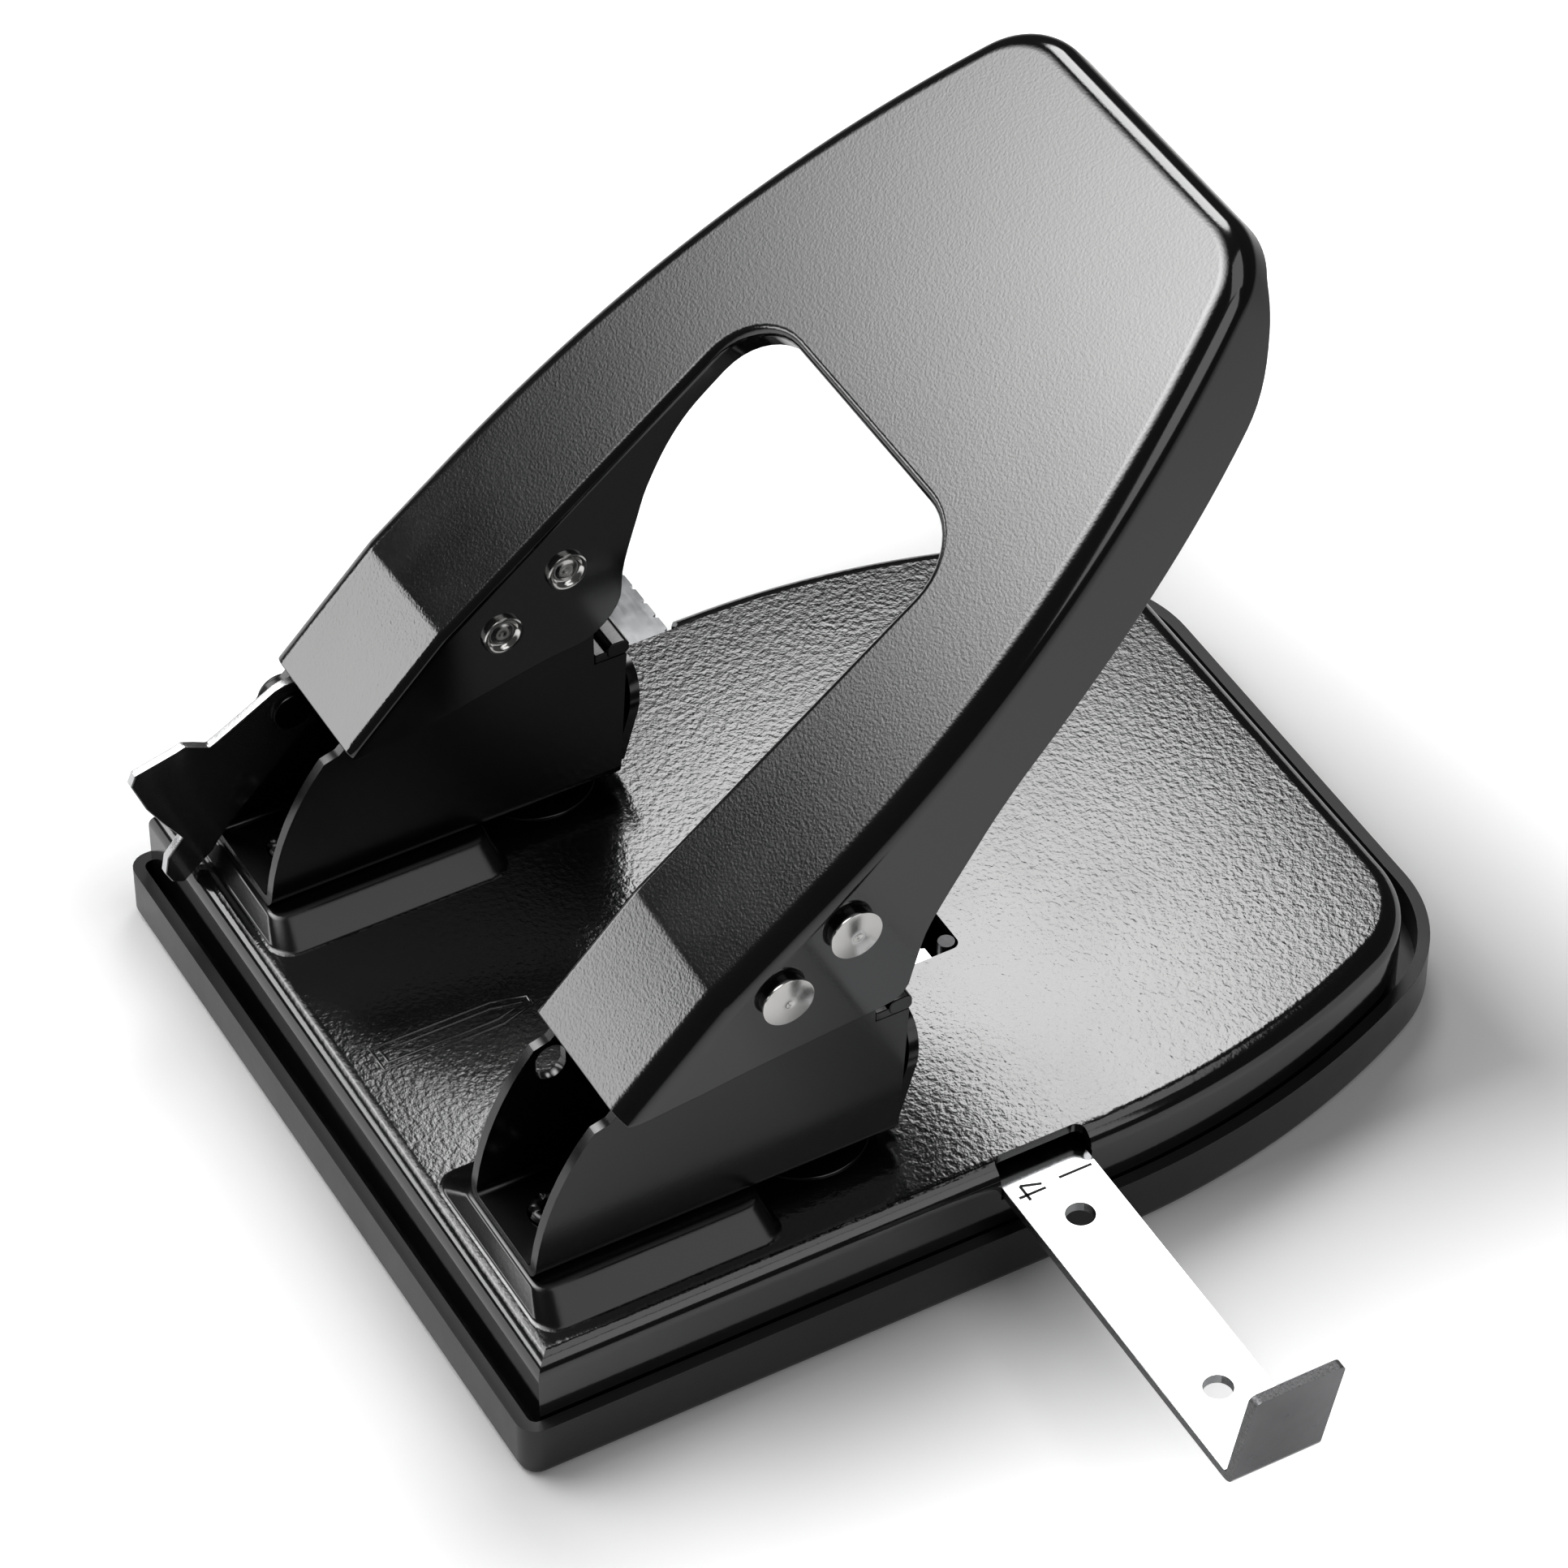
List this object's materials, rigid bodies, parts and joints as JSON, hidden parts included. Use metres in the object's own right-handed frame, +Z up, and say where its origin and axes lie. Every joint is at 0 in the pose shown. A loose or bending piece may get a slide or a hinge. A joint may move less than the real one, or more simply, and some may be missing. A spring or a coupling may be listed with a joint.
{
  "type": "two-hole paper punch",
  "caption": "Desk punch for two holes 80 mm apart: pressed steel base and two-armed handle, sprung punch pins, lock lever, sliding paper guide and chip tray.",
  "frame": {"origin": "middle of the chip tray's underside, on the surface that the punch stands on", "axes": "X across the punch towards the side where the paper guide slides out, Y from the hinge end towards the grip end, Z up"},
  "size_m": [0.2035, 0.1651, 0.1368],
  "materials": {
    "black_paint": "fine wrinkle texture on flat faces, smooth gloss on bends",
    "black_plastic": "matte moulded",
    "tool_steel": "ground",
    "spring_steel": "drawn wire",
    "dark_steel": "blackened",
    "nickel": "satin nickel plate",
    "bright_plate": "bright plated sheet with sheared edges"
  },
  "bodies": {
    "base": {"base_plate": "black_paint", "die_left": "tool_steel", "die_right": "tool_steel", "bracket_left": "black_paint", "bracket_right": "black_paint", "bracket_rivets": "dark_steel", "pin_guide_left": "black_paint", "pin_guide_right": "black_paint", "pivot_rivet_left": "nickel", "pivot_rivet_right": "nickel", "lock_rivet": "dark_steel", "guide_detent": "dark_steel", "guide_rails": "dark_steel", "return_spring_left": "spring_steel", "return_spring_right": "spring_steel"},
    "tray": {"chip_tray": "black_plastic"},
    "lever": {"handle": "black_paint", "drive_rivet_left": "nickel", "drive_rivet_right": "nickel"},
    "pin_left": {"punch_pin_left": "tool_steel", "spring_cap_left": "dark_steel"},
    "pin_right": {"punch_pin_right": "tool_steel", "spring_cap_right": "dark_steel"},
    "lock": {"lock_lever": "black_paint"},
    "guide": {"paper_guide": "bright_plate"}
  },
  "joints": [
    {"name": "handle_press", "type": "hinge", "parent": "base", "child": "lever", "pos_m": [0, -0.0353, 0.0616], "axis": [-1, 0, 0], "range_deg": [0, 42], "stiffness_Nm_per_rad": 1.2, "springref_deg": -28.65},
    {"name": "pin_left_slide", "type": "slide", "parent": "base", "child": "pin_left", "axis": [0, 0, -1], "range_m": [0, 0.00872], "deforming": ["return_spring_left"]},
    {"name": "pin_right_slide", "type": "slide", "parent": "base", "child": "pin_right", "axis": [0, 0, -1], "range_m": [0, 0.00872], "deforming": ["return_spring_right"]},
    {"name": "lock_swing", "type": "hinge", "parent": "base", "child": "lock", "pos_m": [-0.047, -0.0596, 0.0429], "axis": [-1, 0, 0], "range_deg": [0, 60]},
    {"name": "guide_slide", "type": "slide", "parent": "base", "child": "guide", "axis": [1, 0, 0], "range_m": [-0.054, 0.012]},
    {"name": "tray_pull", "type": "slide", "parent": "base", "child": "tray", "axis": [0, 0, -1], "range_m": [0, 0.03]}
  ],
  "couplings": [
    {"joint": "pin_left_slide", "follows": "handle_press", "m_per_rad": 0.0119},
    {"joint": "pin_right_slide", "follows": "handle_press", "m_per_rad": 0.0119}
  ]
}
